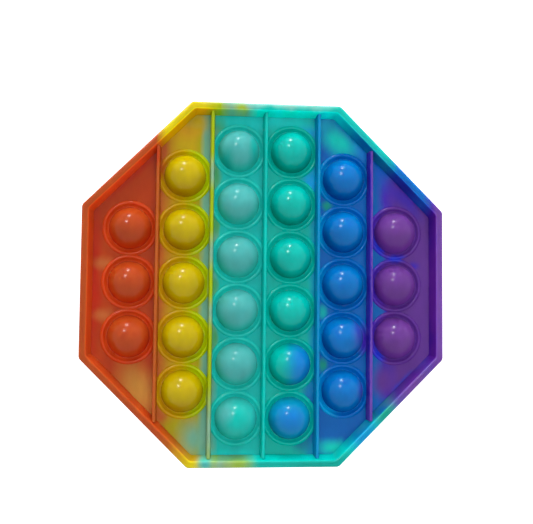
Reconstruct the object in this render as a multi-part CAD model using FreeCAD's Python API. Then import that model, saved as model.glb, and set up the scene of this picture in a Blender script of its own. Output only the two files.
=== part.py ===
import FreeCAD, Part
import math
import os

# A flexible pop pad moulded in one piece: an eight-sided rim, a thin sheet across its middle,
# upright ribs between the columns of domes, and a hollow dome hung in a raised collar at each place.
# Lengths are in millimetres. The origin is under the middle of the pad, on the face that it rests on.

# Domes
dome_radius = 7.25
dome_height = 7.25
crown_wall = 1.1
spring_wall = 0.75

# The thin hinge that lets a dome snap through, and the collar that holds it
hinge_thickness = 0.8
moat_width = 1.2
moat_draft = 0.5
collar_width = 0.75
collar_height = 0.45
collar_draft = 0.35
collar_gap = 0.15

# Layout, one number of domes for each column from left to right
dome_columns = (3, 5, 6, 6, 5, 3)

# Sheet and ribs
sheet_thickness = 1.6
rib_height = 4.4
rib_top_width = 1.0
rib_draft = 0.4
rib_edge_round = 0.35
rib_bite = 1.5

# Rim
rim_height = 12.5
rim_top_width = 2.3
rim_outer_draft = 0.3
rim_inner_draft = 1.1
rim_margin = 3.225
rim_outer_round = 1.1
rim_inner_round = 0.5
outer_corner_radius = 1.8
inner_corner_radius = 1.0

# Edges this near to a level count as lying on it
touch = 0.001

# Places worked out from the sizes above
middle = rim_height / 2
sheet_top = middle + sheet_thickness / 2
sheet_bottom = middle - sheet_thickness / 2
hinge_top = middle + hinge_thickness / 2
hinge_bottom = middle - hinge_thickness / 2
collar_inner = dome_radius + moat_width
collar_outer = collar_inner + collar_width
pitch = 2 * collar_outer + collar_gap
column_count = len(dome_columns)
grid_half = (max(column_count, max(dome_columns)) - 1) / 2 * pitch
rim_foot = grid_half + collar_outer + rim_margin
rim_top_inner = rim_foot + rim_inner_draft
rim_top_outer = rim_top_inner + rim_top_width
half_flats = rim_top_outer + rim_outer_draft


def column_x(column):
    return (column - (column_count - 1) / 2) * pitch


def dome_places():
    places = []
    for column, count in enumerate(dome_columns):
        for row in range(count):
            y = ((count - 1) / 2 - row) * pitch
            places.append(FreeCAD.Vector(column_x(column), y, 0))
    return places


def octagon(half_width, corner_radius, z):
    """A level eight-sided wire with rounded corners, half_width from its centre to each flat."""
    to_corner = half_width / math.cos(math.pi / 8)
    cut_back = corner_radius * math.tan(math.pi / 8)
    arc_depth = corner_radius / math.cos(math.pi / 8) - corner_radius
    corners = []
    for side in range(8):
        here = math.pi / 8 + side * math.pi / 4
        corner = FreeCAD.Vector(to_corner * math.cos(here), to_corner * math.sin(here), z)
        arriving = FreeCAD.Vector(-math.sin(here - math.pi / 8), math.cos(here - math.pi / 8), 0)
        leaving = FreeCAD.Vector(-math.sin(here + math.pi / 8), math.cos(here + math.pi / 8), 0)
        inward = FreeCAD.Vector(-math.cos(here), -math.sin(here), 0)
        start = corner - arriving * cut_back
        end = corner + leaving * cut_back
        corners.append((start, corner + inward * arc_depth, end))
    outline = []
    for side in range(8):
        start, tip, end = corners[side]
        following = corners[(side + 1) % 8][0]
        outline.append(Part.Arc(start, tip, end).toShape())
        outline.append(Part.LineSegment(end, following).toShape())
    return Part.Wire(outline)


def drafted_block(half_at_middle, half_at_end, radius_at_middle, radius_at_end):
    """An octagonal block as high as the rim, tapering both ways from the parting line."""
    waist = octagon(half_at_middle, radius_at_middle, middle)
    halves = []
    for z in (0, rim_height):
        end = octagon(half_at_end, radius_at_end, z)
        halves.append(Part.makeLoft([waist, end], True, True))
    return halves[0].fuse(halves[1]).removeSplitter()


def edges_at_ends(solid):
    """The edges that run round the two flat faces of the rim."""
    found = []
    for edge in solid.Edges:
        box = edge.BoundBox
        if box.ZLength < touch and min(abs(box.ZMin), abs(box.ZMin - rim_height)) < touch:
            found.append(edge)
    return found


def rim_blank():
    """The whole octagon, solid, with its outer edges rounded."""
    end_radius = outer_corner_radius - rim_outer_draft
    block = drafted_block(half_flats, rim_top_outer, outer_corner_radius, end_radius)
    return block.makeFillet(rim_outer_round, edges_at_ends(block))


def tray(z_floor, z_open):
    """The space inside the rim on one side of the sheet, wider at its mouth."""
    mouth_radius = inner_corner_radius + rim_inner_draft
    floor = octagon(rim_foot, inner_corner_radius, z_floor)
    mouth = octagon(rim_top_inner, mouth_radius, z_open)
    return Part.makeLoft([floor, mouth], True, True)


def reach_to_flat(point):
    """How far from the axis the flat of an octagon through this point lies."""
    turns = [side * math.pi / 4 for side in range(8)]
    return max(point.x * math.cos(turn) + point.y * math.sin(turn) for turn in turns)


def hollow_rim():
    """The rim with the sheet across its middle."""
    body = rim_blank().cut([tray(sheet_top, rim_height), tray(sheet_bottom, 0)])
    crest_middle = (rim_top_inner + rim_top_outer - rim_outer_round) / 2
    lip = [edge for edge in edges_at_ends(body) if reach_to_flat(edge.Vertexes[0].Point) < crest_middle]
    return body.makeFillet(rim_inner_round, lip)


def rib(x):
    """An upright rib between two columns, drafted both ways from the sheet and bitten into the rim."""
    top_half = rib_top_width / 2
    foot_half = top_half + rib_draft
    top = sheet_top + rib_height
    bottom = sheet_bottom - rib_height
    reach = rim_foot + rib_bite
    section = [
        (-foot_half, sheet_bottom),
        (-top_half, bottom),
        (top_half, bottom),
        (foot_half, sheet_bottom),
        (foot_half, sheet_top),
        (top_half, top),
        (-top_half, top),
        (-foot_half, sheet_top),
    ]
    points = [FreeCAD.Vector(x + across, -reach, z) for across, z in section]
    face = Part.Face(Part.makePolygon(points + points[:1]))
    bar = face.extrude(FreeCAD.Vector(0, 2 * reach, 0))
    edges = []
    for edge in bar.Edges:
        box = edge.BoundBox
        if box.YLength > reach and (abs(box.ZMax - top) < touch or abs(box.ZMin - bottom) < touch):
            edges.append(edge)
    return bar.makeFillet(rib_edge_round, edges)


def cap_radius(height, half_width):
    """The radius of the ball whose cap has this height and half width."""
    return (height * height + half_width * half_width) / (2 * height)


def cap_arc(height, half_width, z_base):
    """The arc of such a cap from its base circle to its crown, in the XZ plane."""
    ball = cap_radius(height, half_width)
    z_centre = z_base + height - ball
    low = math.asin((z_base - z_centre) / ball)
    half_way = (low + math.pi / 2) / 2
    start = FreeCAD.Vector(half_width, 0, z_base)
    between = FreeCAD.Vector(ball * math.cos(half_way), 0, z_centre + ball * math.sin(half_way))
    crown = FreeCAD.Vector(0, 0, z_base + height)
    return Part.Arc(start, between, crown).toShape()


def dome_unit():
    """One dome with its hinge and collar, turned about its own axis as one section."""
    hollow_half = dome_radius - spring_wall
    hollow_height = hinge_top + dome_height - crown_wall - hinge_bottom
    outer_arc = cap_arc(dome_height, dome_radius, hinge_top)
    inner_arc = cap_arc(hollow_height, hollow_half, hinge_bottom)
    collar_foot = collar_outer + collar_draft
    moat_inner = collar_inner - moat_draft
    side = [
        (dome_radius, hinge_top),
        (moat_inner, hinge_top),
        (collar_inner, sheet_top + collar_height),
        (collar_outer, sheet_top + collar_height),
        (collar_foot, sheet_top),
        (collar_foot, sheet_bottom),
        (collar_outer, sheet_bottom - collar_height),
        (collar_inner, sheet_bottom - collar_height),
        (moat_inner, hinge_bottom),
        (hollow_half, hinge_bottom),
    ]
    points = [FreeCAD.Vector(r, 0, z) for r, z in side]
    edges = [Part.LineSegment(a, b).toShape() for a, b in zip(points, points[1:])]
    crown = FreeCAD.Vector(0, 0, hinge_top + dome_height)
    under_crown = FreeCAD.Vector(0, 0, hinge_top + dome_height - crown_wall)
    axis_edge = Part.LineSegment(under_crown, crown).toShape()
    section = Part.Wire(Part.__sortEdges__([outer_arc] + edges + [inner_arc, axis_edge]))
    return Part.Face(section).revolve(FreeCAD.Vector(0, 0, 0), FreeCAD.Vector(0, 0, 1), 360)


def bubble_pad():
    """The whole moulding."""
    blank = hollow_rim()
    seat = Part.Face(octagon(rim_foot + rib_bite, outer_corner_radius, 0))
    inside = seat.extrude(FreeCAD.Vector(0, 0, rim_height))
    ribs = [rib(column_x(column) + pitch / 2).common(inside) for column in range(column_count - 1)]
    blank = blank.fuse(ribs)
    collar_middle = (collar_inner + collar_outer) / 2
    hole_bottom = FreeCAD.Vector(0, 0, sheet_bottom - collar_height)
    hole_depth = sheet_thickness + 2 * collar_height
    holes = []
    units = []
    unit = dome_unit()
    for place in dome_places():
        holes.append(Part.makeCylinder(collar_middle, hole_depth, place + hole_bottom))
        copy = unit.copy()
        copy.translate(place)
        units.append(copy)
    return blank.cut(holes).fuse(units).removeSplitter()


os.makedirs("parts", exist_ok=True)
pad = bubble_pad()
pad.exportStep("parts/bubble_pad.step")
print("across flats", round(2 * half_flats, 2), "pitch", round(pitch, 2), "height", round(pad.BoundBox.ZMax, 2))
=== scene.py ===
import math
import bmesh
import bpy
from mathutils import Matrix, Vector


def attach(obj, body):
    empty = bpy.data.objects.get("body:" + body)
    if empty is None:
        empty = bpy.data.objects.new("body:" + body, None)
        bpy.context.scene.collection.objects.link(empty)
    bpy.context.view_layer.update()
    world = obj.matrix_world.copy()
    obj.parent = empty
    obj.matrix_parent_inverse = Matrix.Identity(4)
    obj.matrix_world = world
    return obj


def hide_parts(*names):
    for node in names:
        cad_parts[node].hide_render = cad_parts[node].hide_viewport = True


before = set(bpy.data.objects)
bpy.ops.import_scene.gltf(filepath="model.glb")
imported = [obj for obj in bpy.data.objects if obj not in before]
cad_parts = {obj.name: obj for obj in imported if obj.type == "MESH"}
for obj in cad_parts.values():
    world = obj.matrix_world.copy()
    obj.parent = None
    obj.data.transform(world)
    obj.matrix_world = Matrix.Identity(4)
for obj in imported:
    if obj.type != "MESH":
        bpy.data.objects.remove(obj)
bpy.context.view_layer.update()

mm = 0.001
weld = 0.002  # mm, points nearer than this are one
touch = 0.01  # mm, less than this is level or in line
clearStep = 1.0  # mm, more than this is a true rise or run
mixFirst, mixSecond, mixResult = 6, 7, 2  # the colour sockets of a Mix node


# Small helpers

def linearColour(hexCode):
    channels = [int(hexCode[i:i + 2], 16) / 255 for i in (0, 2, 4)]
    linear = [c / 12.92 if c <= 0.04045 else ((c + 0.055) / 1.055) ** 2.4 for c in channels]
    return (*linear, 1.0)


def addNode(tree, kind, settings=None, inputs=None):
    # a node with its settings, and for each socket a value or the socket that feeds it
    node = tree.nodes.new(kind)
    for name, value in (settings or {}).items():
        setattr(node, name, value)
    for name, value in (inputs or {}).items():
        if isinstance(value, bpy.types.NodeSocket):
            tree.links.new(value, node.inputs[name])
        else:
            node.inputs[name].default_value = value
    return node


def finishMesh(bm, name, materials):
    # welds what the operators left double, points every face outwards and turns mm to metres
    bmesh.ops.remove_doubles(bm, verts=bm.verts, dist=weld)
    bmesh.ops.recalc_face_normals(bm, faces=bm.faces)
    bmesh.ops.scale(bm, vec=(mm, mm, mm), verts=bm.verts)
    return addPiece(bm, name, materials)


def addPiece(bm, name, materials):
    mesh = bpy.data.meshes.new(name)
    bm.to_mesh(mesh)
    bm.free()
    for material in materials:
        mesh.materials.append(material)
    piece = bpy.data.objects.new(name, mesh)
    bpy.context.scene.collection.objects.link(piece)
    return piece


def roundEdges(bm, edges, width, segments):
    bmesh.ops.bevel(bm, geom=edges, offset=width, offset_type="OFFSET", segments=segments,
                    profile=0.5, affect="EDGES", material=-1, clamp_overlap=True)


def join(target, operand, how):
    # one boolean step, applied at once, and the operand is thrown away
    step = target.modifiers.new(how, "BOOLEAN")
    step.operation = how
    step.solver = "MANIFOLD"
    step.material_mode = "TRANSFER"
    step.object = operand
    graph = bpy.context.evaluated_depsgraph_get()
    merged = bpy.data.meshes.new_from_object(target.evaluated_get(graph))
    target.modifiers.clear()
    old = target.data
    target.data = merged
    bpy.data.meshes.remove(old)
    bpy.data.objects.remove(operand)


def gather(parts, name):
    # several separate closed shells as one object
    bm = bmesh.new()
    materials = list(parts[0].data.materials)
    for part in parts:
        bm.from_mesh(part.data)
        bpy.data.objects.remove(part)
    return addPiece(bm, name, materials)


# The moulding in mm, as the solid has it, and the same above and below its parting line

moulding = {"height": 12.5, "sheet": 1.6, "sides": 8, "smoothAngle": 40}

middle = moulding["height"] / 2
sheetTop = middle + moulding["sheet"] / 2
sheetBottom = middle - moulding["sheet"] / 2
sides = moulding["sides"]
halfTurn = math.pi / sides  # from the middle of a side round to its corner
toCorner = 1 / math.cos(halfTurn)


# Silicone rubber, pressure moulded from strips of coloured stock: the colours run deep and bleed
# into one another, light sinks in a little, and the skin is smooth with a soft, satin shine

# each pigment as it looks on a level face, and the darker colour painted where a wall turns steep,
# which is partly painted shade and on some walls partly the wall's own pigment
pigmentsAndShade = {
    "crimson": ("ae2402", "a00800"), "ember": ("aa3c08", "a21e00"), "red": ("b84a18", "d0360a"),
    "brick": ("bc4315", "ae3100"), "orange": ("b04c15", "ae3e14"), "tile": ("b04c15", "b03e18"),
    "rust": ("b45b1e", "992900"), "clay": ("b4622a", "9c4414"), "tan": ("bc8836", "9d5a10"),
    "ochre": ("b68d08", "9d6400"), "amber": ("c89a10", "a87a00"), "gold": ("b69d00", "9d7f00"),
    "honey": ("ba9d00", "a27b00"), "yellow": ("c4ae00", "b69200"), "lemon": ("d0c208", "a68000"),
    "olive": ("a39d00", "747400"), "lime": ("a4b600", "7b9900"), "leaf": ("4a9d65", "03744a"),
    "sage": ("85ae93", "559374"), "greyTeal": ("6ca48d", "338974"), "paintedSheen": ("93cec6", "55b2aa"),
    "seaGreen": ("00937f", "006a5a"), "jade": ("00a89c", "009288"), "turquoise": ("00bcb0", "008b78"),
    "paleTeal": ("50b2b0", "1cbeb0"), "lagoon": ("1bb4ac", "00aaa0"), "surf": ("00a69a", "00b4a8"),
    "teal": ("00aea8", "00a299"), "aqua": ("00c2b6", "00bcb2"), "glass": ("04c2c0", "00b8b4"),
    "reef": ("0aa08c", "0c4c98"), "veil": ("10b4b4", "003c7c"), "tide": ("00758e", "006a84"),
    "cyanBlue": ("0099ce", "00649d"), "lake": ("008cc0", "0070ae"), "sky": ("0a84ce", "085eaa"),
    "azure": ("0078c4", "004c9e"), "denim": ("0066b2", "005aa4"), "blue": ("0062ac", "002e7f"),
    "marine": ("0460bc", "0458b0"), "shade": ("0068bc", "160c70"), "dusk": ("3a50b4", "2838a4"),
    "royal": ("2938c2", "030389"), "navy": ("3c28a8", "3814a0"), "indigo": ("4527aa", "1e007b"),
    "violet": ("6c48ac", "3a1498"), "grape": ("5c2f8b", "471072"), "purple": ("60338c", "4a1176"),
    "plum": ("6e3c93", "7636a0"), "heather": ("70459d", "4c087a"), "mauve": ("764aa4", "4c087a"),
}
silicone = {
    "roughness": (0.17, 0.22), "specular": 0.24, "ior": 1.41,
    "sinkWeight": 1.0, "sinkColour": (1.0, 0.8, 0.7),
    # the strips' span in mm, how far their edges wander, and the noises' stretch and sizes
    "halfSpan": 64.0, "wander": 1.8, "wanderSize": 7.0, "wanderDetail": 3.0, "stretch": (1, 0.45, 0.3),
    "cloud": 0.08, "cloudSize": 5.0, "cloudDetail": 4.0, "cloudSpan": (0.3, 0.7), "noiseRoughness": 0.6,
    # how far past its size a bleed fades out, and the share of the way in at which it is full
    "bleedReach": 1.55, "bleedEdge": 0.95,
    # where a normal counts as steep (Z) and as facing away from the lamps (Y), for the painted shade
    "steep": (0.95, 0.25), "away": (0.4, -0.6),
    # how squarely (mm) an inner wall faces the middle as its painted glow starts and is full, and the
    # painted glow's share on walls that face the lamps
    "glowSpan": (-15.0, -50.0), "glowShare": 0.35,
    # half the thin web's thickness, and the height at which its painted light ends, mm
    "webSpan": (0.4, 1.1),
    "grainSize": 0.35, "grainDepth": 0.004, "flowSize": 6.0, "flowDepth": 0.04,
}
# how much of the painted shade colour a wall takes where it faces the lamps and where it faces away,
# how far light gets in (mm), the level of the colour, how much brighter the thin web at the parting
# line is painted, and how much brighter an inner wall is painted, both painted light for light that comes
# through
looks = {
    "sheet": {"shadeShare": (0.15, 0.15), "sinkDepth": 1.6, "lift": 1.12, "thin": 1.0, "glow": 1.0},
    "collar": {"shadeShare": (0.2, 0.2), "sinkDepth": 1.6, "lift": 1.17, "thin": 1.13, "glow": 1.0},
    "dome": {"shadeShare": (0.1, 0.85), "sinkDepth": 1.8, "lift": 0.98, "thin": 1.1, "glow": 1.0},
    "rib": {"shadeShare": (0.3, 0.3), "sinkDepth": 2.0, "lift": 1.0, "thin": 1.0, "glow": 1.0},
    "rim": {"shadeShare": (0.9, 0.9), "sinkDepth": 3.0, "lift": 1.0, "thin": 1.0, "glow": 1.85},
}


def wanderedPlan(tree, place, drawn):
    # the place in plan, shifted so that where two colours meet, the edge wanders
    ripple = addNode(tree, "ShaderNodeTexNoise", None,
                     {"Vector": drawn, "Scale": 1 / silicone["wanderSize"],
                      "Detail": silicone["wanderDetail"], "Roughness": silicone["noiseRoughness"]})
    centred = addNode(tree, "ShaderNodeVectorMath", {"operation": "SUBTRACT"},
                      {0: ripple.outputs["Color"], 1: (0.5, 0.5, 0.5)}).outputs[0]
    shift = addNode(tree, "ShaderNodeVectorMath", {"operation": "SCALE"},
                    {0: centred, "Scale": silicone["wander"] * 2}).outputs[0]
    wandered = addNode(tree, "ShaderNodeVectorMath", {"operation": "ADD"},
                       {0: place, 1: shift}).outputs[0]
    return addNode(tree, "ShaderNodeVectorMath", {"operation": "MULTIPLY"},
                   {0: wandered, 1: (1, 1, 0)}).outputs[0]


def stripColours(tree, plan, run, bleeds):
    # the level colour and the shaded one (painted shade), each a ramp of strips with the bleeds laid over it
    # in turn
    halfSpan = silicone["halfSpan"]
    across = addNode(tree, "ShaderNodeSeparateXYZ", None, {0: plan}).outputs["X"]
    along = addNode(tree, "ShaderNodeMapRange", None,
                    {"Value": across, "From Min": -halfSpan, "From Max": halfSpan}).outputs[0]
    reach = silicone["bleedReach"]
    amounts = []
    for x, y, halfWide, halfHigh, turn, pigment in bleeds:
        spot = addNode(tree, "ShaderNodeMapping", {"vector_type": "TEXTURE"},
                       {"Vector": plan, "Location": (x, y, 0), "Rotation": (0, 0, math.radians(turn)),
                        "Scale": (halfWide * reach, halfHigh * reach, 1)}).outputs[0]
        ball = addNode(tree, "ShaderNodeTexGradient", {"gradient_type": "SPHERICAL"}, {0: spot})
        amounts.append(addNode(tree, "ShaderNodeMapRange", {"interpolation_type": "SMOOTHSTEP"},
                               {"Value": ball.outputs["Fac"],
                                "From Max": silicone["bleedEdge"]}).outputs[0])
    layers = []
    for depth in (0, 1):
        ramp = addNode(tree, "ShaderNodeValToRGB", None, {0: along})
        stops = ramp.color_ramp.elements
        while len(stops) < len(run):
            stops.new(0.5)
        for stop, (x, pigment) in zip(stops, run):
            stop.position = (x + halfSpan) / (2 * halfSpan)
            stop.color = linearColour(pigmentsAndShade[pigment][depth])
        colour = ramp.outputs[0]
        for amount, bleed in zip(amounts, bleeds):
            spotColour = linearColour(pigmentsAndShade[bleed[-1]][depth])
            colour = addNode(tree, "ShaderNodeMix", {"data_type": "RGBA"},
                             {0: amount, mixFirst: colour, mixSecond: spotColour}).outputs[mixResult]
        layers.append(colour)
    return layers


def paintedLightThrough(tree, place, plan, normal, away, look):
    # painted light: an inner wall that faces the middle is painted brighter, most where it faces away from
    # the lamps, for light that comes through the rim, and the thin web at the parting line is painted
    # brighter as well
    facing = addNode(tree, "ShaderNodeVectorMath", {"operation": "DOT_PRODUCT"},
                     {0: normal, 1: plan}).outputs["Value"]
    inner = addNode(tree, "ShaderNodeMapRange", {"interpolation_type": "SMOOTHSTEP"},
                    {"Value": facing, "From Min": silicone["glowSpan"][0],
                     "From Max": silicone["glowSpan"][1]}).outputs[0]
    share = addNode(tree, "ShaderNodeMapRange", None,
                    {"Value": away, "To Min": silicone["glowShare"], "To Max": 1.0}).outputs[0]
    lit = addNode(tree, "ShaderNodeMath", {"operation": "MULTIPLY"}, {0: inner, 1: share}).outputs[0]
    through = addNode(tree, "ShaderNodeMapRange", None,
                      {"Value": lit, "To Min": 1.0, "To Max": look["glow"]}).outputs[0]
    height = addNode(tree, "ShaderNodeSeparateXYZ", None, {0: place}).outputs["Z"]
    toLine = addNode(tree, "ShaderNodeMath", {"operation": "SUBTRACT"}, {0: height, 1: middle}).outputs[0]
    offLine = addNode(tree, "ShaderNodeMath", {"operation": "ABSOLUTE"}, {0: toLine}).outputs[0]
    web = addNode(tree, "ShaderNodeMapRange", None,
                  {"Value": offLine, "From Min": silicone["webSpan"][0], "From Max": silicone["webSpan"][1],
                   "To Min": look["thin"], "To Max": 1.0}).outputs[0]
    return addNode(tree, "ShaderNodeMath", {"operation": "MULTIPLY"}, {0: through, 1: web}).outputs[0]


def siliconeMaterial(name, look, run, bleeds):
    # run lists (x, pigment) from left to right, and bleeds (x, y, half width, half height, turn, pigment);
    # a bleed that is listed twice has a sharper edge
    material = bpy.data.materials.new(name)
    material.use_nodes = True
    tree = material.node_tree
    tree.nodes.clear()
    objectPlace = addNode(tree, "ShaderNodeTexCoord").outputs["Object"]
    place = addNode(tree, "ShaderNodeVectorMath", {"operation": "SCALE"},
                    {0: objectPlace, "Scale": 1 / mm}).outputs[0]
    drawn = addNode(tree, "ShaderNodeVectorMath", {"operation": "MULTIPLY"},
                    {0: place, 1: silicone["stretch"]}).outputs[0]
    plan = wanderedPlan(tree, place, drawn)
    levelColour, shadedColour = stripColours(tree, plan, run, bleeds)

    # painted shade: the steeper a wall, the more of the darker shaded colour it shows, most where it faces
    # away from the lamps
    normal = addNode(tree, "ShaderNodeNewGeometry").outputs["Normal"]
    lean = addNode(tree, "ShaderNodeSeparateXYZ", None, {0: normal})
    level = addNode(tree, "ShaderNodeMath", {"operation": "ABSOLUTE"}, {0: lean.outputs["Z"]}).outputs[0]
    away = addNode(tree, "ShaderNodeMapRange", {"interpolation_type": "SMOOTHSTEP"},
                   {"Value": lean.outputs["Y"], "From Min": silicone["away"][0],
                    "From Max": silicone["away"][1]}).outputs[0]
    shadeAmount = addNode(tree, "ShaderNodeMapRange", None,
                      {"Value": away, "To Min": look["shadeShare"][0],
                       "To Max": look["shadeShare"][1]}).outputs[0]
    steep = addNode(tree, "ShaderNodeMapRange", {"interpolation_type": "SMOOTHSTEP"},
                    {"Value": level, "From Min": silicone["steep"][0], "From Max": silicone["steep"][1],
                     "To Max": shadeAmount}).outputs[0]
    colour = addNode(tree, "ShaderNodeMix", {"data_type": "RGBA"},
                     {0: steep, mixFirst: levelColour, mixSecond: shadedColour}).outputs[mixResult]

    # faint clouds where the pigment is unevenly mixed
    cloud = addNode(tree, "ShaderNodeTexNoise", None,
                    {"Vector": drawn, "Scale": 1 / silicone["cloudSize"],
                     "Detail": silicone["cloudDetail"], "Roughness": silicone["noiseRoughness"]})
    low, high = silicone["cloudSpan"]
    shade = addNode(tree, "ShaderNodeMapRange", None,
                    {"Value": cloud.outputs["Fac"], "From Min": low, "From Max": high,
                     "To Min": look["lift"] * (1 - silicone["cloud"]),
                     "To Max": look["lift"] * (1 + silicone["cloud"])}).outputs[0]
    colour = addNode(tree, "ShaderNodeVectorMath", {"operation": "SCALE"},
                     {0: colour, "Scale": shade}).outputs[0]
    # painted light: inner walls and the thin web are painted brighter
    glow = paintedLightThrough(tree, place, plan, normal, away, look)
    colour = addNode(tree, "ShaderNodeVectorMath", {"operation": "SCALE"},
                     {0: colour, "Scale": glow}).outputs[0]

    # handling leaves the skin a little duller in patches
    polish = addNode(tree, "ShaderNodeMapRange", None,
                     {"Value": cloud.outputs["Fac"], "From Min": low, "From Max": high,
                      "To Min": silicone["roughness"][0], "To Max": silicone["roughness"][1]}).outputs[0]

    # the mould's fine spark grain, and the slow unevenness of a soft wall
    grain = addNode(tree, "ShaderNodeTexNoise", None,
                    {"Vector": place, "Scale": 1 / silicone["grainSize"], "Detail": 2.0})
    flow = addNode(tree, "ShaderNodeTexNoise", None,
                   {"Vector": place, "Scale": 1 / silicone["flowSize"], "Detail": 1.0})
    soft = addNode(tree, "ShaderNodeBump", None,
                   {"Height": flow.outputs["Fac"], "Distance": silicone["flowDepth"] * mm, "Strength": 1.0})
    skin = addNode(tree, "ShaderNodeBump", None,
                   {"Height": grain.outputs["Fac"], "Distance": silicone["grainDepth"] * mm,
                    "Strength": 1.0, "Normal": soft.outputs[0]})
    shader = addNode(tree, "ShaderNodeBsdfPrincipled", None,
                     {"Base Color": colour, "Roughness": polish, "IOR": silicone["ior"],
                      "Normal": skin.outputs[0], "Specular IOR Level": silicone["specular"],
                      "Subsurface Weight": silicone["sinkWeight"],
                      "Subsurface Radius": silicone["sinkColour"],
                      "Subsurface Scale": look["sinkDepth"] * mm})
    addNode(tree, "ShaderNodeOutputMaterial", None, {"Surface": shader.outputs[0]})
    return material


# Domes, each hung by a thin hinge inside a raised collar

dome = {
    "radius": 7.25, "height": 7.25, "crownWall": 1.1, "springWall": 0.75, "hinge": 0.8,
    "columns": (3, 5, 6, 6, 5, 3),  # domes in each column, from left to right
    "steps": 48, "outerRings": 12, "innerRings": 7,
}
collar = {
    "moat": 1.2, "moatDraft": 0.5, "width": 0.75, "height": 0.45, "draft": 0.35, "gap": 0.15,
    "edgeRound": 0.34, "footRound": 0.5, "roundSegments": 4,
}

collarInner = dome["radius"] + collar["moat"]
collarOuter = collarInner + collar["width"]
pitch = 2 * collarOuter + collar["gap"]
columnCount = len(dome["columns"])

collarSilicone = siliconeMaterial(
    "collarSilicone", looks["collar"],
    [(-63, "brick"), (-37.6, "brick"), (-36.8, "ochre"), (-33, "ochre"), (-28, "gold"), (-24, "lime"),
     (-19.2, "lime"), (-18.0, "lagoon"), (-0.6, "lagoon"), (1, "jade"), (17.6, "jade"), (19.0, "lake"),
     (24, "denim"), (36.6, "denim"), (37.8, "indigo"), (44, "grape"), (63, "grape")],
    [
        (13, -46, 5.0, 9.0, 0, "teal"), (22, -44, 4.0, 3.4, 0, "cyanBlue"), (40.5, 13, 2.2, 5.0, 0, "royal"),
        (40.5, -24.5, 2.4, 4.6, 0, "royal"), (36.0, -20, 2.4, 6.0, 0, "indigo"),
        (46.4, 9.3, 4.0, 1.6, 0, "royal"), (-37, 41, 3.0, 4.0, 0, "rust"),
    ])
domeSilicone = siliconeMaterial(
    "domeSilicone", looks["dome"],
    [(-63, "red"), (-38, "red"), (-36.5, "yellow"), (-19.5, "yellow"), (-18, "paleTeal"),
     (-0.6, "paleTeal"), (0.6, "turquoise"), (18, "turquoise"), (19.2, "azure"), (36.6, "azure"),
     (37.8, "plum"), (63, "plum")],
    [
        # the honey spots make the lower side of each yellow dome darker and more orange, partly the pigment
        # and partly painted shade
        (-28, -24.5, 6.0, 3.0, 0, "honey"), (-29, -42.5, 5.0, 3.0, 0, "honey"),
        (-28, 12.5, 6.0, 2.6, 0, "honey"), (-28, 30.5, 6.0, 2.8, 0, "honey"),
        (-9.3, -46.5, 9.0, 9.0, 0, "aqua"), (-13.4, -44, 2.6, 4.4, -20, "paleTeal"),
        (-13.6, 42, 2.4, 4.0, 0, "lagoon"), (-4.2, 47, 1.2, 5.0, 0, "lagoon"),
        (14.4, -28, 5.6, 10.0, 0, "sky"), (14.4, -28, 5.6, 10.0, 0, "sky"), (9.3, -46.5, 9.5, 9.0, 0, "sky"),
        (33.4, -17, 3.0, 5.6, 0, "dusk"), (34.4, -36, 2.2, 4.4, 0, "dusk"),
    ])


def domePlaces():
    places = []
    for column, count in enumerate(dome["columns"]):
        for row in range(count):
            x = (column - (columnCount - 1) / 2) * pitch
            y = ((count - 1) / 2 - row) * pitch
            places.append((column, row, x, y))
    return places


def capArc(bm, height, halfWidth, base, rings):
    # one point of a ball cap swept from the crown down to the base circle
    ball = (height * height + halfWidth * halfWidth) / (2 * height)
    centre = base + height - ball
    sweep = math.pi / 2 - math.asin((base - centre) / ball)
    crown = bm.verts.new((0, 0, base + height))
    bmesh.ops.spin(bm, geom=[crown], cent=(0, 0, centre), axis=(0, 1, 0), angle=sweep, steps=rings)
    bm.verts.ensure_lookup_table()
    return bm.verts[-1]


def makeDomeUnit(x, y):
    # collar, moat, hinge and hollow dome drawn as one section and turned about the dome's axis
    bm = bmesh.new()
    hingeTop = middle + dome["hinge"] / 2
    hingeBottom = middle - dome["hinge"] / 2
    hollowHalf = dome["radius"] - dome["springWall"]
    hollowHeight = hingeTop + dome["height"] - dome["crownWall"] - hingeBottom
    spring = capArc(bm, dome["height"], dome["radius"], hingeTop, dome["outerRings"])
    underSpring = capArc(bm, hollowHeight, hollowHalf, hingeBottom, dome["innerRings"])
    crest = collar["height"] + moulding["sheet"] / 2
    wall = collarInner - collar["moatDraft"]
    foot = collarOuter + collar["draft"]
    side = [(wall, hingeTop, "footRound"), (collarInner, middle + crest, "edgeRound"),
            (collarOuter, middle + crest, "edgeRound"), (foot, sheetTop, None), (foot, sheetBottom, None),
            (collarOuter, middle - crest, "edgeRound"), (collarInner, middle - crest, "edgeRound"),
            (wall, hingeBottom, "footRound")]
    points = [bm.verts.new((r, 0, z)) for r, z, easing in side]
    chain = [spring] + points + [underSpring]
    for a, b in zip(chain, chain[1:]):
        bm.edges.new((a, b))
    for point, (r, z, easing) in zip(points, side):
        if easing:
            bmesh.ops.bevel(bm, geom=[point], offset=collar[easing], offset_type="OFFSET",
                            segments=collar["roundSegments"], profile=0.5, affect="VERTICES", material=-1)
    bmesh.ops.spin(bm, geom=bm.verts[:] + bm.edges[:], cent=(0, 0, 0), axis=(0, 0, 1), angle=2 * math.pi,
                   steps=dome["steps"], use_merge=True, use_normal_flip=False, use_duplicate=False)
    for face in bm.faces:
        face.material_index = 1 if face.calc_center_median().xy.length < dome["radius"] else 0
    bmesh.ops.translate(bm, vec=(x, y, 0), verts=bm.verts)
    return finishMesh(bm, "domeUnit", [collarSilicone, domeSilicone])


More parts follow.
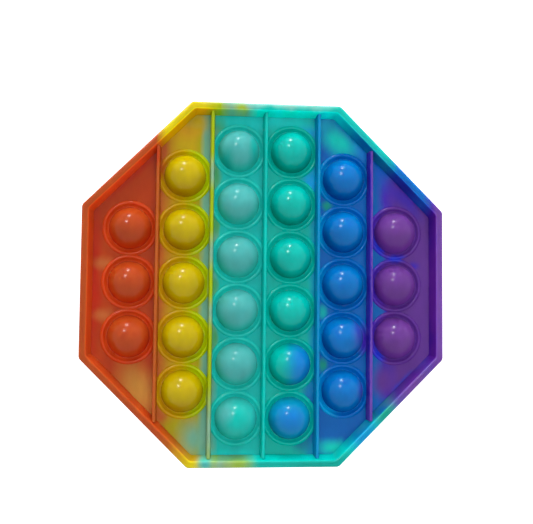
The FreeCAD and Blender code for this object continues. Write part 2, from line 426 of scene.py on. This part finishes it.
def makeHole(x, y):
    # what is cut from the sheet for one dome, out to the middle of its collar
    bm = bmesh.new()
    radius = (collarInner + collarOuter) / 2
    depth = moulding["sheet"] + 2 * collar["height"]
    bmesh.ops.create_cone(bm, cap_ends=True, segments=dome["steps"], radius1=radius, radius2=radius,
                          depth=depth, matrix=Matrix.Translation((x, y, middle)))
    return finishMesh(bm, "holeCutter", [collarSilicone])


# Rim, and the sheet that it carries: each runs some way into the other

rim = {
    "topWidth": 2.3, "outerDraft": 0.3, "innerDraft": 1.1, "margin": 3.225,
    "outerCorner": 1.8, "innerCorner": 1.6, "cornerSegments": (5, 3),
    "outerRound": 1.4, "innerRound": 0.6, "roundSegments": (5, 4),
    # how an edge of the crest is told: it turns more than this (radians) and lies this near its place,
    # and the inner wall starts this far out from the tongue
    "sharpTurn": 0.5, "slack": 0.9, "wallStart": 0.5,
}
sheet = {"bite": 1.2, "setIn": 0.25}

rimFoot = (columnCount - 1) / 2 * pitch + collarOuter + rim["margin"]
rimTopInner = rimFoot + rim["innerDraft"]
rimTopOuter = rimTopInner + rim["topWidth"]
rimWaist = rimTopOuter + rim["outerDraft"]

rimSilicone = siliconeMaterial(
    "rimSilicone", looks["rim"],
    [(-63, "orange"), (-37.5, "orange"), (-34.5, "lemon"), (-21, "lemon"), (-16, "lime"),
     (-12.5, "sage"), (-7, "sage"), (-3, "aqua"), (26, "aqua"), (43, "turquoise"), (46.5, "azure"),
     (55, "azure"), (59, "indigo"), (60.6, "mauve"), (63, "mauve")],
    [
        (-38.5, -47.5, 13.5, 5.6, -45, "orange"), (-38.5, -47.5, 13.5, 5.6, -45, "orange"),
        (-9, 61, 2.4, 1.8, -20, "lime"), (-19.5, -61, 2.8, 3.0, 0, "paleTeal"),
        (-14.5, -61, 2.6, 3.0, 0, "sage"), (-7.8, -61, 5.2, 2.8, 0, "lime"), (0.5, -61, 3.0, 3.4, 0, "aqua"),
        (52, -34, 14.0, 5.0, 45, "heather"), (41.8, -44.2, 3.8, 3.0, 45, "reef"),
        (34.5, -51.5, 6.0, 4.0, 45, "cyanBlue"), (28, -60.5, 4.0, 3.4, 0, "teal"),
        (60.5, 0, 3.0, 30.0, 0, "mauve"), (35, 48.9, 12.5, 2.4, -45, "veil"),
        (48.6, 35.2, 11.0, 2.4, -45, "shade"), (-47, 36.9, 14.0, 2.2, 45, "tile"),
        # the pale strip along the outer round of the rim's top is a painted sheen
        (6, 62.4, 22.0, 1.6, 0, "paintedSheen"), (14, -61, 20.0, 3.4, 0, "surf"),
    ])
sheetSilicone = siliconeMaterial(
    "sheetSilicone", looks["sheet"],
    [(-63, "ember"), (-38.5, "ember"), (-36.2, "rust"), (-32.5, "ochre"), (-29, "gold"),
     (-24.5, "gold"), (-23, "olive"), (-21, "greyTeal"), (-17.6, "greyTeal"), (-15.5, "teal"),
     (-1, "teal"), (3, "jade"), (15.5, "jade"), (18.6, "lake"), (19.5, "blue"), (40, "blue"),
     (43, "indigo"), (48, "purple"), (63, "purple")],
    [
        # the crimson bands along the feet of the left and upper-left walls are darker red, partly the pigment
        # and partly painted shade
        (-47.5, 37.5, 13.0, 2.4, 45, "crimson"), (-58.6, 0, 2.2, 30.0, 0, "crimson"),
        (-55.2, 6.5, 3.5, 2.2, 0, "clay"), (-55.2, -11.5, 3.5, 2.4, 0, "clay"),
        (-42.5, -37, 6.0, 10.0, 25, "tan"), (-35.4, 46, 1.8, 6.0, 0, "rust"),
        # the amber spot at the foot of the top wall is a more orange gold, painted lighter as well: painted
        # light where the rim shades the sheet
        (-27.5, 55, 6.0, 5.0, 0, "amber"), (-35.5, -46, 2.0, 4.0, 0, "rust"),
        (-30, -49.5, 5.0, 3.4, 0, "olive"), (-24, -53, 5.0, 6.0, 0, "greyTeal"),
        (-16.4, 56.5, 2.8, 4.0, 0, "leaf"), (-17.2, 38, 1.6, 5.0, 0, "leaf"),
        (-17.2, 20, 1.6, 3.6, 0, "leaf"), (-17.2, -1, 1.4, 3.0, 0, "leaf"), (-17.2, -19, 1.6, 4.0, 0, "leaf"),
        (15.5, 54.5, 3.4, 2.8, 20, "cyanBlue"), (16.2, 36, 3.0, 5.0, 0, "cyanBlue"),
        (16.5, -46, 2.6, 14, 0, "blue"), (13, -54.5, 4.0, 3.0, 0, "tide"), (33.5, 47.0, 5.5, 2.0, -45, "sky"),
        (26, 50.5, 7.0, 4.2, -35, "aqua"), (21.8, 27.5, 1.9, 1.8, 0, "seaGreen"),
        (21.2, -9.5, 1.6, 2.4, 0, "teal"), (21.2, -28, 1.6, 2.4, 0, "seaGreen"),
        # the glass strip along the foot of the top wall is painted lighter: painted light where the rim
        # shades the sheet
        (24.5, -56.5, 6.0, 3.0, 0, "aqua"), (0, 57.4, 23.0, 3.2, 0, "glass"),
        (-10, -58.5, 9.0, 1.6, 0, "glass"), (-24, 57.0, 4.6, 3.6, 0, "gold"),
        # the marine spot in the upper-right corner is blue painted lighter: painted light where the rim
        # shades the sheet
        (42, 40, 4.5, 6.0, 0, "marine"), (49.5, 30.8, 9.0, 3.0, -45, "indigo"),
        (53.5, 6.8, 1.8, 1.4, 0, "indigo"), (41, 9.3, 2.0, 2.2, 0, "blue"), (41, -9.3, 2.0, 2.2, 0, "blue"),
        (42.5, -33.5, 4.0, 5.5, 0, "purple"), (49.5, -35, 6.0, 1.8, 45, "royal"),
        (42.5, -43, 3.4, 3.2, 30, "blue"),
    ])


def reachToFlat(spot):
    # how far from the axis the flat of an octagon through this point lies
    turn = round(math.atan2(spot.y, spot.x) / (2 * halfTurn)) * 2 * halfTurn
    return spot.x * math.cos(turn) + spot.y * math.sin(turn)


def makeRim():
    # a mitred section turned round eight corners, then its corners and edges are eased
    bm = bmesh.new()
    tongue = rimFoot - sheet["bite"]
    section = [(rimWaist, middle), (rimTopOuter, moulding["height"]), (rimTopInner, moulding["height"]),
               (rimFoot, sheetTop), (tongue, middle + sheet["setIn"]), (tongue, middle - sheet["setIn"]),
               (rimFoot, sheetBottom), (rimTopInner, 0), (rimTopOuter, 0)]
    corner = [bm.verts.new((reach * toCorner, 0, z)) for reach, z in section]
    loop = [bm.edges.new((a, b)) for a, b in zip(corner, corner[1:] + corner[:1])]
    bmesh.ops.rotate(bm, verts=corner, cent=(0, 0, 0), matrix=Matrix.Rotation(halfTurn, 3, "Z"))
    bmesh.ops.spin(bm, geom=corner + loop, cent=(0, 0, 0), axis=(0, 0, 1), angle=2 * math.pi,
                   steps=sides, use_merge=True, use_normal_flip=False, use_duplicate=False)
    bmesh.ops.remove_doubles(bm, verts=bm.verts, dist=touch)
    bmesh.ops.recalc_face_normals(bm, faces=bm.faces)
    outer, inner = [], []
    for edge in bm.edges:
        a, b = (v.co for v in edge.verts)
        if abs(a.z - b.z) < clearStep:
            continue
        if max(a.xy.length, b.xy.length) / toCorner > rimTopOuter - touch:
            outer.append(edge)
        elif min(a.xy.length, b.xy.length) / toCorner > tongue + rim["wallStart"]:
            inner.append(edge)
    easing = math.tan(halfTurn)
    roundEdges(bm, outer, rim["outerCorner"] * easing, rim["cornerSegments"][0])
    inner = [e for e in inner if e.is_valid]
    roundEdges(bm, inner, rim["innerCorner"] * easing, rim["cornerSegments"][1])
    crestEdges = ((rimTopOuter, rim["outerRound"], rim["roundSegments"][0]),
                  (rimTopInner, rim["innerRound"], rim["roundSegments"][1]))
    for level in (0, moulding["height"]):
        for reach, size, segments in crestEdges:
            ring = []
            for edge in bm.edges:
                a, b = (v.co for v in edge.verts)
                if abs(a.z - level) > touch or abs(b.z - level) > touch:
                    continue
                sharp = len(edge.link_faces) == 2 and edge.calc_face_angle(0) > rim["sharpTurn"]
                if sharp and abs(reachToFlat((a + b) / 2) - reach) < rim["slack"]:
                    ring.append(edge)
            roundEdges(bm, ring, size, segments)
    return finishMesh(bm, "rimRing", [rimSilicone])


def makeSheet():
    bm = bmesh.new()
    reach = (rimFoot + sheet["bite"]) * toCorner
    turned = Matrix.Translation((0, 0, middle)) @ Matrix.Rotation(halfTurn, 4, "Z")
    bmesh.ops.create_cone(bm, cap_ends=True, segments=sides, radius1=reach, radius2=reach,
                          depth=moulding["sheet"], matrix=turned)
    return finishMesh(bm, "sheetPlate", [sheetSilicone])


# Ribs between the columns

rib = {"height": 4.4, "topWidth": 1.0, "draft": 0.4, "edgeRound": 0.4, "roundSegments": 4, "biteShare": 0.5}

ribSilicone = siliconeMaterial(
    "ribSilicone", looks["rib"],
    [(-38.4, "rust"), (-35.5, "rust"), (-20.5, "lime"), (-16.5, "lime"), (-3, "teal"), (2, "aqua"),
     (17, "lake"), (20, "lake"), (36.2, "navy"), (36.5, "navy"), (36.8, "violet"), (38.4, "violet")],
    [
        (-18.5, 38, 3.0, 5.0, 0, "sage"), (-18.5, 11, 3.0, 5.4, 0, "sage"), (-18.5, -10, 3.0, 4.0, 0, "sage"),
        (-18.5, -50, 3.0, 11.0, 0, "sage"), (-37.1, 44, 3.0, 4.0, 0, "brick"),
    ])
print("materials made")


def ribReach(x):
    # how far a rib runs before it is well inside the rim's foot, at a level side or a slanting one
    seat = rimFoot + sheet["bite"] * rib["biteShare"]
    return min(seat, seat * math.sqrt(2) - abs(x))


def makeRib(x):
    # a bar cut where it meets the sheet's faces and narrowed towards both of its crests
    bm = bmesh.new()
    height = moulding["sheet"] + 2 * rib["height"]
    foot = rib["topWidth"] + 2 * rib["draft"]
    bmesh.ops.create_cube(bm, size=1)
    bmesh.ops.scale(bm, vec=(foot, 2 * ribReach(x), height), verts=bm.verts)
    for z in (moulding["sheet"] / 2, -moulding["sheet"] / 2):
        bmesh.ops.bisect_plane(bm, geom=bm.verts[:] + bm.edges[:] + bm.faces[:],
                               plane_co=(0, 0, z), plane_no=(0, 0, 1))
    crest = [v for v in bm.verts if abs(v.co.z) > height / 2 - touch]
    bmesh.ops.scale(bm, vec=(rib["topWidth"] / foot, 1, 1), verts=crest)
    ridges = []
    for edge in bm.edges:
        a, b = (v.co for v in edge.verts)
        if abs(a.z) > height / 2 - touch and abs(a.z - b.z) < touch and abs(a.y - b.y) > clearStep:
            ridges.append(edge)
    roundEdges(bm, ridges, rib["edgeRound"], rib["roundSegments"])
    bmesh.ops.translate(bm, vec=(x, 0, middle), verts=bm.verts)
    return finishMesh(bm, "ribBar", [ribSilicone])


# All of it joined to one closed shell

pad = makeRim()
join(pad, makeSheet(), "UNION")
ribXs = [(column - columnCount / 2) * pitch for column in range(1, columnCount)]
join(pad, gather([makeRib(x) for x in ribXs], "ribs"), "UNION")
print("rim, sheet and ribs joined")

# neighbouring collars share a foot, so the domes are set in turn like the two colours of a chessboard
places = domePlaces()
join(pad, gather([makeHole(x, y) for column, row, x, y in places], "holes"), "DIFFERENCE")
for parity in (0, 1):
    units = []
    for column, row, x, y in places:
        if (column + row + (dome["columns"][column] + 1) // 2) % 2 == parity:
            units.append(makeDomeUnit(x, y))
    join(pad, gather(units, "units"), "UNION")
pad.name = "siliconePad"
pad.data.validate()  # the boolean steps leave a few slivers, and this takes them away
pad.data.shade_smooth()
pad.data.set_sharp_from_angle(angle=math.radians(moulding["smoothAngle"]))
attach(pad, "root")
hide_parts("bubble_pad")
print("domes set,", len(pad.data.polygons), "faces")


# Light, floor and camera

studio = {
    # each lamp's power, size (m), angle from overhead and round from the far side, and distance (m)
    "glintNear": {"energy": 13.0, "size": 0.34, "turn": 38, "side": -31, "away": 2.0},
    "glintLow": {"energy": 17.0, "size": 0.34, "turn": 66, "side": -7, "away": 2.0},
    "softTop": {"energy": 3.9, "size": 1.2, "turn": 42, "side": -6, "away": 1.0},
    "softFront": {"energy": 3.5, "size": 0.8, "turn": 12, "side": 130, "away": 1.0},
    "softEdge": {"energy": 6.5, "size": 0.5, "turn": 76, "side": 0, "away": 1.0},
    "worldStrength": 0.44, "floorGlow": 0.85, "paper": "e8e8e8", "floorHalf": 1.5,
}
view = {"place": (-24.18, -7.94, 275.9), "turn": (3.24, -5.348, 0.594), "focal": 774.6,
        "frameWidth": 533.0, "sensor": 36.0, "nearest": 0.01}


def addLamp(name, values):
    data = bpy.data.lights.new(name, "AREA")
    data.shape = "DISK"
    data.size = values["size"]
    data.energy = values["energy"]
    lamp = bpy.data.objects.new(name, data)
    turn, side = math.radians(values["turn"]), math.radians(values["side"])
    across, back, up = math.sin(side) * math.sin(turn), math.sin(turn) * math.cos(side), math.cos(turn)
    away = Vector((across, back, up)) * values["away"]
    lamp.location = away
    lamp.rotation_euler = away.to_track_quat("Z", "Y").to_euler()
    # the two glints show only as the spots on each dome, and the soft lamps only as light
    lamp.visible_diffuse = not name.startswith("glint")
    lamp.visible_glossy = name.startswith("glint")
    bpy.context.scene.collection.objects.link(lamp)


def addCamera():
    # the focal length is in the photo's pixels
    data = bpy.data.cameras.new("photoView")
    data.sensor_fit = "HORIZONTAL"
    data.sensor_width = view["sensor"]
    data.lens = view["focal"] / view["frameWidth"] * view["sensor"]
    data.clip_start = view["nearest"]
    camera = bpy.data.objects.new("photoView", data)
    camera.location = Vector(view["place"]) * mm
    camera.rotation_euler = [math.radians(a) for a in view["turn"]]
    bpy.context.scene.collection.objects.link(camera)
    bpy.context.scene.camera = camera


def seenDirectly(tree):
    # 1 where the camera or a reflection sees the surface, and 0 for light that it gives
    ray = addNode(tree, "ShaderNodeLightPath")
    return addNode(tree, "ShaderNodeMath", {"operation": "MAXIMUM"},
                   {0: ray.outputs["Is Camera Ray"], 1: ray.outputs["Is Glossy Ray"]}).outputs[0]


def whiteWorld():
    # plain white to the camera and in reflections, and a dim, even fill on the object
    world = bpy.data.worlds.new("studioWorld")
    world.use_nodes = True
    tree = world.node_tree
    tree.nodes.clear()
    fill = addNode(tree, "ShaderNodeMix", {"data_type": "FLOAT"},
                   {0: seenDirectly(tree), 2: studio["worldStrength"], 3: 1.0}).outputs[0]
    backdrop = addNode(tree, "ShaderNodeBackground", None, {"Color": (1, 1, 1, 1), "Strength": fill})
    addNode(tree, "ShaderNodeOutputWorld", None, {"Surface": backdrop.outputs[0]})
    return world


def paperFloor():
    # white paper that glows a little to the camera, so that it stays white and its shadow is faint
    material = bpy.data.materials.new("paperFloor")
    material.use_nodes = True
    tree = material.node_tree
    tree.nodes.clear()
    strength = addNode(tree, "ShaderNodeMath", {"operation": "MULTIPLY"},
                       {0: seenDirectly(tree), 1: studio["floorGlow"]}).outputs[0]
    paper = addNode(tree, "ShaderNodeBsdfDiffuse", None, {"Color": linearColour(studio["paper"])})
    glow = addNode(tree, "ShaderNodeEmission", None, {"Color": (1, 1, 1, 1), "Strength": strength})
    both = addNode(tree, "ShaderNodeAddShader", None, {0: paper.outputs[0], 1: glow.outputs[0]})
    addNode(tree, "ShaderNodeOutputMaterial", None, {"Surface": both.outputs[0]})
    return material


for name in ("glintNear", "glintLow", "softTop", "softFront", "softEdge"):
    addLamp(name, studio[name])
addCamera()
bpy.context.scene.view_settings.view_transform = "Standard"
bpy.context.scene.world = whiteWorld()
bm = bmesh.new()
bmesh.ops.create_grid(bm, x_segments=1, y_segments=1, size=studio["floorHalf"])
floor = addPiece(bm, "floor", [paperFloor()])
print("floor, lamps and camera placed")
